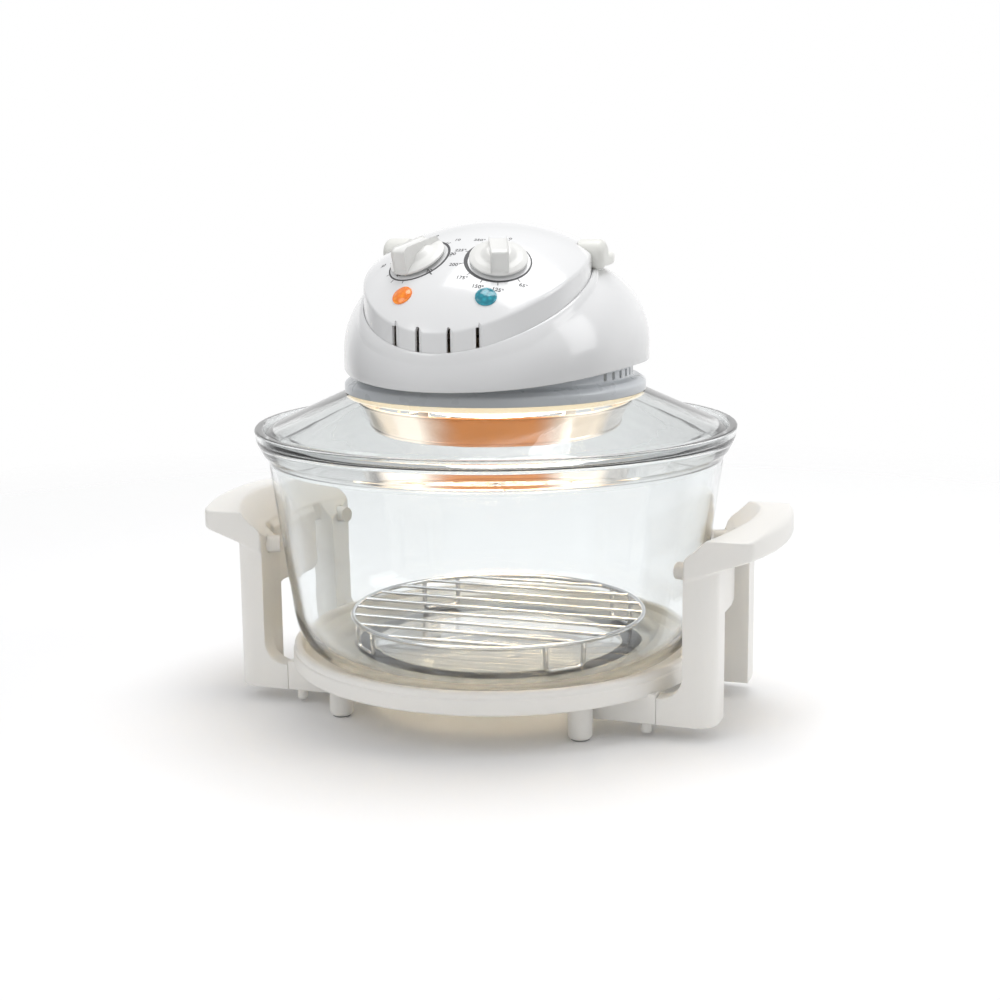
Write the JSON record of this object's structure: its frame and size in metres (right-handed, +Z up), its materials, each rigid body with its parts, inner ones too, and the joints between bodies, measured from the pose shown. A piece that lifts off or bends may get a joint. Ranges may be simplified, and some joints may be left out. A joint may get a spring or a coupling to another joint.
{
  "type": "halogen oven",
  "caption": "Tabletop halogen oven: clear glass bowl in a stand with side handles, closed by a conical glass lid that carries the heater head, its dials and a folding carry handle.",
  "frame": {"origin": "on the floor, under the axis of the glass bowl", "axes": "+Z up along the bowl's axis, -Y towards the front with the dials, +X to the right side handle"},
  "size_m": [0.412, 0.334, 0.3337],
  "materials": {
    "shell_white": "glossy moulded, smooth",
    "knob_white": "satin moulded",
    "handle_white": "satin moulded",
    "stand_white": "satin moulded, warm white",
    "foot_rubber": "matte",
    "gasket_silicone": "matte silicone",
    "bowl_glass": "clear polished",
    "lid_glass": "clear polished",
    "base_grey": "satin moulded, light grey",
    "guard_steel": "polished sheet",
    "rack_chrome": "bright plated wire",
    "lens_orange": "clear coloured lens",
    "lens_teal": "clear coloured lens",
    "bulb_glass": "clear",
    "reflector_aluminium": "bright sheet",
    "tube_quartz": "clear quartz with a glowing filament",
    "holder_ceramic": "unglazed ceramic look",
    "zinc_steel": "zinc plated",
    "probe_copper": "bare copper",
    "dark_phenolic": "matte",
    "timer_brass": "stamped sheet and turned brass",
    "motor_iron": "laminated sheet",
    "inner_plastic": "moulded",
    "plunger_red": "moulded, and wire insulation"
  },
  "bodies": {
    "stand": {"stand_ring": "stand_white", "left_side_handle": "stand_white", "right_side_handle": "stand_white", "locking_pins": "stand_white", "rubber_foot_tips": "foot_rubber", "bowl_pads": "stand_white"},
    "bowl": {"glass_bowl": "bowl_glass"},
    "rack": {"wire_rack": "rack_chrome"},
    "lid": {"glass_lid": "lid_glass", "lid_gasket": "gasket_silicone", "clamp_ring": "guard_steel", "clamp_screws": "zinc_steel", "head_base": "base_grey", "head_shell": "shell_white", "shell_screws": "zinc_steel", "control_panel": "shell_white", "power_lamp_lens": "lens_orange", "heat_lamp_lens": "lens_teal", "indicator_bulbs": "bulb_glass", "lamp_guard": "guard_steel", "guard_grille": "guard_steel", "reflector_pan": "reflector_aluminium", "reflector_spacers": "holder_ceramic", "heat_shield": "reflector_aluminium", "halogen_tube": "tube_quartz", "tube_holders": "holder_ceramic", "thermostat_probe": "probe_copper", "thermostat_body": "dark_phenolic", "timer_mechanism": "timer_brass", "timer_bell": "zinc_steel", "control_nuts": "zinc_steel", "motor_bracket": "zinc_steel", "motor_stator": "motor_iron", "motor_coil": "probe_copper", "bearing_bush": "timer_brass", "safety_switch": "dark_phenolic", "switch_bracket": "zinc_steel", "terminal_block": "inner_plastic", "cord_gland": "inner_plastic", "wiring_harness": "plunger_red"},
    "fan_rotor": {"fan_shaft": "zinc_steel", "motor_rotor": "motor_iron", "convection_fan": "reflector_aluminium", "cooling_fan": "inner_plastic"},
    "timer_dial": {"timer_knob": "knob_white", "timer_shaft": "zinc_steel"},
    "thermostat_dial": {"thermostat_knob": "knob_white", "thermostat_shaft": "zinc_steel"},
    "bail": {"carry_handle": "handle_white", "handle_axle": "zinc_steel", "safety_cam": "inner_plastic"},
    "plunger": {"safety_plunger": "plunger_red"}
  },
  "joints": [
    {"name": "bowl_lift", "type": "slide", "parent": "stand", "child": "bowl", "axis": [0, 0, 1], "range_m": [0, 0.15]},
    {"name": "rack_lift", "type": "slide", "parent": "bowl", "child": "rack", "axis": [0, 0, 1], "range_m": [0, 0.1]},
    {"name": "lid_lift", "type": "slide", "parent": "bowl", "child": "lid", "axis": [0, 0, 1], "range_m": [0, 0.2]},
    {"name": "fan_spin", "type": "hinge", "parent": "lid", "child": "fan_rotor", "pos_m": [0, 0, 0.26], "axis": [0, 0, 1], "continuous": true},
    {"name": "timer_turn", "type": "hinge", "parent": "lid", "child": "timer_dial", "pos_m": [-0.0277, -0.0695, 0.31149], "axis": [0.2022, 0.5073, -0.8377], "range_deg": [0, 300]},
    {"name": "thermostat_turn", "type": "hinge", "parent": "lid", "child": "thermostat_dial", "pos_m": [0.0277, -0.0695, 0.31149], "axis": [-0.2022, 0.5073, -0.8377], "range_deg": [0, 270]},
    {"name": "handle_fold", "type": "hinge", "parent": "lid", "child": "bail", "pos_m": [0, 0, 0.31172], "axis": [1, 0, 0], "range_deg": [0, 90]},
    {"name": "plunger_travel", "type": "slide", "parent": "lid", "child": "plunger", "axis": [0, 0, 1], "range_m": [0, 0.0026]}
  ],
  "couplings": [
    {"joint": "plunger_travel", "follows": "handle_fold", "m_per_rad": 0.0015915}
  ]
}
